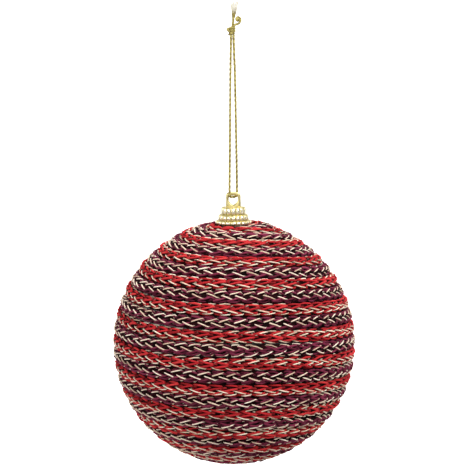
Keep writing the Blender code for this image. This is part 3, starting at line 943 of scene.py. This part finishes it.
def cap_arrays():
    """The cap from the middle of its top to the foot of its stem.

    A tier's radius is groove + bead depth * bulge * swell. The bulge is the sine, raised
    to a power, of an angle that runs over half a turn from top to bottom."""
    azimuth = even_angles(CAP_COLUMNS)
    rows_radius, rows_height, rows_relief = [], [], []
    for foot, height, radius, beads, depth in TIERS:
        swell = np.abs(np.cos(beads * azimuth / 2))**BEAD_FULLNESS
        for step in np.linspace(0, 1, TIER_ROWS):
            bulge = math.sin(math.pi * step)**TIER_FULLNESS
            rows_radius.append(radius - depth + depth * bulge * swell)
            rows_height.append(np.full(CAP_COLUMNS, foot + height * (1 - step)))
            rows_relief.append(bulge * swell)
    plain = np.ones(CAP_COLUMNS)
    stem = plain * STEM_DIAMETER / 2
    radius = np.array([plain * CAP_TOP_RADIUS, *rows_radius, stem, stem])
    height = np.array([plain * EYELET_FOOT, *rows_height, plain * CAP_FOOT, plain * STEM_FOOT])
    relief = np.array([plain * TOP_RELIEF, *rows_relief, plain * STEM_RELIEF, plain * STEM_RELIEF])
    points = np.stack((radius * np.sin(azimuth), -radius * np.cos(azimuth), height), axis=-1)
    return points, relief


cap_points, cap_relief = cap_arrays()
cap_along = np.linspace(0, 1, len(cap_points))
cap_faces = tube_faces(len(cap_points), CAP_COLUMNS, cap_along, turned=True)
gold_cap = mesh_piece("beaded_gold_cap", cap_points, *cap_faces, {"relief": cap_relief})
print("cap", len(gold_cap.data.polygons), "faces")

# %% [markdown]
# The eyelet
#
# A flat loop with square shoulders stands on the cap, and the thread pulls on its bar.
# Its outer edge and its hole are two closed outlines with the same number of points. The
# section between them is a rounded rectangle carried round the loop, so the piece is a
# ring: middle + half width * c * across + half thickness * s * front to back, where
# (c, s) runs round a square with soft corners.

# %% Make the eyelet
EYELET_WIDTH = 6.1 * MM
HOLE_WIDTH = 3.7 * MM
HOLE_HEIGHT = 3.7 * MM
EYELET_SUNK = 0.6 * MM         # how far its foot runs into the upper tier
EYELET_POINTS = 96
SECTION_POINTS = 12
OUTER_POWER = 5.0
HOLE_POWER = 3.2
EYELET_SECTION_POWER = 3
FOOT_SPREAD = 0.08             # a share: the loop's foot is wider
HOLE_NARROWING = 0.75          # and the hole's foot narrower
# the eyelet's level on the same ramp, which sets how dark its gold is painted
EYELET_RELIEF = 0.3


def soft_square(count, power):
    """(c, s) round the power ellipse |c|^p + |s|^p = 1. A high power squares it."""
    c, s = np.cos(even_angles(count)), np.sin(even_angles(count))
    scale = (np.abs(c)**power + np.abs(s)**power)**(-1 / power)
    return c * scale, s * scale


def rounded_outline(half_width, top, bottom, power, foot_narrowing):
    """A closed outline in the XZ plane: a power ellipse that narrows towards its foot."""
    x, z = soft_square(EYELET_POINTS, power)
    middle, half_height = (top + bottom) / 2, (top - bottom) / 2
    narrow = 1 - foot_narrowing * np.clip(-z, 0, 1)**1.5
    return np.stack((half_width * x * narrow, middle + half_height * z), axis=1)


def eyelet_arrays():
    """The ring's points: middle + half width * c across, and half thickness * s in depth."""
    outer = rounded_outline(EYELET_WIDTH / 2, EYELET_TOP, EYELET_FOOT - EYELET_SUNK,
                            OUTER_POWER, -FOOT_SPREAD)
    hole_top = EYELET_TOP - EYELET_BAR
    inner = rounded_outline(HOLE_WIDTH / 2, hole_top, hole_top - HOLE_HEIGHT,
                            HOLE_POWER, HOLE_NARROWING)
    c, s = soft_square(SECTION_POINTS, EYELET_SECTION_POWER)
    middle = (outer + inner) / 2
    half = (outer - inner) / 2
    flat = middle[:, None] + half[:, None] * c[:, None]
    depth = np.broadcast_to(EYELET_THICKNESS / 2 * s, flat.shape[:2])
    return np.stack((flat[..., 0], depth, flat[..., 1]), axis=-1)


eyelet_points = eyelet_arrays()
eyelet_quads = grid_quads(EYELET_POINTS, SECTION_POINTS, closed_rows=True)
eyelet_relief = np.full(eyelet_points.shape[:2], EYELET_RELIEF)
eyelet = mesh_piece("gold_cap_eyelet", eyelet_points, eyelet_quads, None, {"relief": eyelet_relief})
print("eyelet", len(eyelet.data.polygons), "faces")

# %% [markdown]
# Yarn
#
# The yarns are soft, matte and two-ply. The colour varies a little from leg to leg and along each
# yarn, a fine slanted ridge shows the twist of the plies, and a touch of sheen stands for the fibres
# that catch the light at the edges. The ridge is also painted shade: the colour is darker between
# the plies. A yarn that lies deep or on the flank of the cord gets painted shade too. The ridge is a
# wave across the UV map, which runs once round the yarn and in millimetres along it.

# %% Give the cords their yarns
YARN_PLIES = 2
YARN_LAY = 1.6                 # millimetres of yarn for one turn of the plies
# painted shade: the share by which the colour of a deep yarn is darkened
SUNK_SHADE = 0.88              # share of the light that a deep yarn loses


def yarn_finish(name, dark, middle, light):
    """The place on the ramp is (0.6 tone + 0.4 noise) * (0.7 + 0.35 ridge), so the ridge paints
    shade between the plies, and the colour is dimmed by painted shade where the yarn lies deep. The
    ridge of the plies also gives the bump."""
    yarn = Finish(name, Roughness=0.85, Specular_IOR_Level=0.15, Sheen_Weight=0.12,
                  Sheen_Roughness=0.45, Sheen_Tint=(*light, 1.0))
    mixed = yarn.plus(yarn.times(yarn.left_on_points("tone"), 0.6),
                      yarn.times(yarn.noise(900.0, 3.0), 0.4))
    around, along = yarn.round_and_along()
    turns = yarn.plus(yarn.times(around, YARN_PLIES), yarn.times(along, 1 / YARN_LAY))
    ridge = yarn.reckon("ABSOLUTE", yarn.reckon("SINE", yarn.times(turns, TURN)))
    # painted shade between the plies: the ridge darkens the colour
    shaded = yarn.times(mixed, yarn.plus(yarn.times(ridge, 0.35), 0.7))
    colour = yarn.ramp(shaded, (0.08, *dark), (0.45, *middle), (0.85, *light))
    # the colour is darkened by the painted shade left on the points
    left = yarn.reckon("SUBTRACT", 1.0, yarn.times(yarn.left_on_points("painted_depth_shade"), SUNK_SHADE))
    dimmed = yarn.add("ShaderNodeVectorMath", {"operation": "SCALE"}, i0=colour, Scale=left)
    yarn.wire(dimmed.outputs[0], "Base Color")
    yarn.roughen(ridge, 0.6, 0.2 * MM)
    return yarn.material


scarlet = yarn_finish("scarlet yarn", (0.22, 0.006, 0.009), (0.46, 0.016, 0.021),
                      (0.62, 0.044, 0.044))
plum = yarn_finish("plum yarn", (0.068, 0.007, 0.016), (0.148, 0.015, 0.039),
                   (0.25, 0.034, 0.075))
cream = yarn_finish("cream yarn", (0.50, 0.32, 0.21), (0.80, 0.62, 0.46), (0.95, 0.85, 0.70))
print("yarns", scarlet.name, plum.name, cream.name)

# %% [markdown]
# The dark inside
#
# What shows between the legs is yarn in deep shade, so the cores are painted with that shade: the
# cords' colours, almost black. One flat black would look like a hole, so a coarse noise breaks it
# up.

# %% Give the cores their shade
DARKEST = (0.004, 0.001, 0.001)


def inside_finish(name, light):
    """The noise alone is the place on the ramp from the darkest colour to a light one."""
    inside = Finish(name, Roughness=0.95, Specular_IOR_Level=0.1)
    inside.wire(inside.ramp(inside.noise(500.0, 4.0), (0.35, *DARKEST), (0.7, *light)), "Base Color")
    return inside.material


insides = {
    "scarlet": inside_finish("inside of the scarlet cord", (0.03, 0.002, 0.002)),
    "plum": inside_finish("inside of the plum cord", (0.02, 0.002, 0.003)),
}
print("cores shaded")

# %% [markdown]
# Gold
#
# The cap is plastic with a thin bright metal coat, champagne gold. Its colour is painted bright on
# the beads, as painted light, and dull olive brown in the grooves, as painted shade. A painted image
# could show that too, but the cap's surface function has left its relief on its points, so the
# colour and the roughness follow that.

# %% Give the cap its coat


def gold_finish():
    """The level is the relief plus a little noise. It sets the colour, painted dark in the grooves
    as shade and pale on the beads as light, and the roughness is 0.42 - 0.22 * level."""
    coat = Finish("champagne gold coat", Metallic=0.8)
    relief = coat.left_on_points("relief")
    noise = coat.noise(700.0, 3.0)
    level = coat.plus(relief, coat.times(coat.reckon("SUBTRACT", noise, 0.5), 0.35))
    colour = coat.ramp(level, (0.1, 0.36, 0.29, 0.09), (0.45, 0.80, 0.69, 0.34),
                       (0.8, 0.97, 0.92, 0.70))
    coat.wire(colour, "Base Color")
    coat.wire(coat.reckon("SUBTRACT", 0.42, coat.times(level, 0.22)), "Roughness")
    coat.roughen(noise, 0.15, 0.2 * MM)
    return coat.material


gold = gold_finish()
print("cap finish", gold.name)

# %% [markdown]
# Gold thread
#
# The thread is spun of metallic filaments, duller and darker than the cap. Each ply shows fine
# ridges that run round it, with painted shade between them, and is painted darkest, as shade, where
# it goes down beside the next one, three times in a lay. One could paint such bands on an image, but
# the plies' UV map already says where a point lies, so two waves on it are enough.

# %% Give the thread its filaments
RIDGES_AROUND = 4.0
RIDGES_ALONG = 2.0             # in one lay


def thread_finish():
    """The place on the ramp is 0.12 band + 0.3 ridge + 0.7 noise. The ridge is a wave that runs
    round and along the ply, and the band is a wave along it alone. Both paint shade: between the
    ridges, and where a ply goes down beside the next."""
    spun = Finish("gold thread", Metallic=0.35, Roughness=0.5, Specular_IOR_Level=0.2)
    around, along = spun.round_and_along()
    turns = spun.plus(spun.times(around, RIDGES_AROUND), spun.times(along, RIDGES_ALONG))
    ridge = spun.plus(spun.times(spun.reckon("SINE", spun.times(turns, TURN)), 0.5), 0.5)
    # painted shade where a ply goes down beside the next one, three times in a lay
    band = spun.reckon("SINE", spun.times(along, PLIES * TURN))
    noise = spun.noise(1500.0, 2.0)
    level = spun.plus(spun.times(band, 0.12),
                      spun.plus(spun.times(ridge, 0.3), spun.times(noise, 0.7)))
    colour = spun.ramp(level, (0.25, 0.12, 0.08, 0.015), (0.5, 0.35, 0.28, 0.07),
                       (0.8, 0.72, 0.64, 0.25))
    spun.wire(colour, "Base Color")
    spun.roughen(ridge, 0.5, 0.1 * MM)
    return spun.material


thread_gold = thread_finish()
print("thread finish", thread_gold.name)

# %% [markdown]
# Foam
#
# The ball under the cords is light foam, made of small pale cells pressed together. The cords hide
# nearly all of it, so no cell is modelled: a Voronoi texture has such cells, and the dips between
# them are painted a little darker, as painted shade.

# %% Give the ball its foam


def foam_finish():
    """Colour and bump follow the distance from the middle of a cell. The colour is painted darker
    towards the dips, as shade.
    """
    cells = Finish("white foam", Roughness=0.9)
    voronoi = cells.add("ShaderNodeTexVoronoi", Vector=cells.place("Object"), Scale=400.0)
    distance = voronoi.outputs["Distance"]
    cells.wire(cells.ramp(distance, (0.0, 0.86, 0.86, 0.84), (0.8, 0.74, 0.74, 0.72)), "Base Color")
    cells.roughen(distance, 0.5, 0.4 * MM, invert=True)
    return cells.material


foam = foam_finish()
print("ball finish", foam.name)

# %% [markdown]
# Finishes and bodies
#
# Nothing on the bauble is made to move, so every piece rides on the one body, root. The
# main piece of each solid stands for that solid, and the foam ball keeps its own mesh.

# %% Give each piece its finish and its body


def assign(piece, material, slot, *nodes):
    """Give a piece its finish and its body, and say which nodes it stands for."""
    piece.data.materials.clear()
    piece.data.materials.append(material)
    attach(piece, "root")
    if nodes:
        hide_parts(*nodes)


for piece, *finish in (
        (scarlet_yarn, scarlet, "red_yarn", "red_knitted_cord"),
        (plum_yarn, plum, "plum_yarn", "plum_knitted_cord"),
        (scarlet_cream, cream, "cream_yarn"),
        (plum_cream, cream, "cream_yarn"),
        (scarlet_heads, scarlet, "red_yarn"),
        (plum_heads, plum, "plum_yarn"),
        (cores["scarlet"], insides["scarlet"], "red_yarn"),
        (cores["plum"], insides["plum"], "plum_yarn"),
        (gold_cap, gold, "gold_plastic", "gold_cap"),
        (eyelet, gold, "gold_plastic"),
        (hanging_thread, thread_gold, "gold_thread", "hanging_thread"),
        (thread_knot, thread_gold, "gold_thread", "thread_knot")):
    assign(piece, *finish)
foam_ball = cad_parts["foam_ball"]
foam_ball.data.materials.clear()
foam_ball.data.materials.append(foam)
print("finishes given")

# %% [markdown]
# The studio
#
# The bauble hangs free above a plain pale floor that lies far below it, so that little
# light comes up from it and the ball's underside is darker than its top. A white backdrop
# stands behind and glows like a lit paper, which leaves the bauble alone on white and
# gives its edges some light. Large soft lights stand above, in front and at the left.

# %% Set up the floor and the lights
FLOOR_HEIGHT = -1.6
BACKDROP_DISTANCE = 2.0
STAGE_SIZE = 6.0
BACKDROP_GLOW = 0.95
WORLD_GLOW = 0.29


def stage_plane(name, corners, glow):
    """A plain pale plane. The glow is the light that it gives off by itself."""
    mesh = bpy.data.meshes.new(name)
    mesh.from_pydata(corners, [], [(0, 1, 2, 3)])
    plane = bpy.data.objects.new(name, mesh)
    COLLECTION.objects.link(plane)
    paint = Finish(name + " paint", Roughness=0.9, Base_Color=(0.92, 0.92, 0.92, 1),
                   Emission_Color=(1, 1, 1, 1), Emission_Strength=glow)
    mesh.materials.append(paint.material)


def make_light(name, place, size, power):
    """A square area light that looks at the ball. Its power is in watts."""
    data = bpy.data.lights.new(name, "AREA")
    data.shape = "SQUARE"
    data.size = size
    data.energy = power
    light = bpy.data.objects.new(name, data)
    COLLECTION.objects.link(light)
    direction = Vector((0, 0, BALL_CENTRE)) - Vector(place)
    turn = direction.to_track_quat("-Z", "Y").to_matrix()
    light.matrix_world = Matrix.Translation(place) @ turn.to_4x4()


s, z, back = STAGE_SIZE, FLOOR_HEIGHT, BACKDROP_DISTANCE
stage_plane("floor", [(-s, -s, z), (s, -s, z), (s, back, z), (-s, back, z)], 0.0)
stage_plane("backdrop", [(-s, back, z), (s, back, z), (s, back, s), (-s, back, s)],
            BACKDROP_GLOW)
world = bpy.data.worlds.new("studio")
world.use_nodes = True
world.node_tree.nodes["Background"].inputs["Color"].default_value = (1, 1, 1, 1)
world.node_tree.nodes["Background"].inputs["Strength"].default_value = WORLD_GLOW
bpy.context.scene.world = world
make_light("front_top_light", (0.8, -0.87, 0.75), 0.5, 18.3)
make_light("top_light", (0.2, 0.1, 0.9), 0.6, 8.5)
make_light("left_light", (-1.0, -0.5, 0.3), 0.5, 7.2)
make_light("front_light", (-0.3, -1.7, 0.2), 1.0, 6.5)
bpy.context.scene.view_settings.view_transform = "Standard"
print("studio ready")
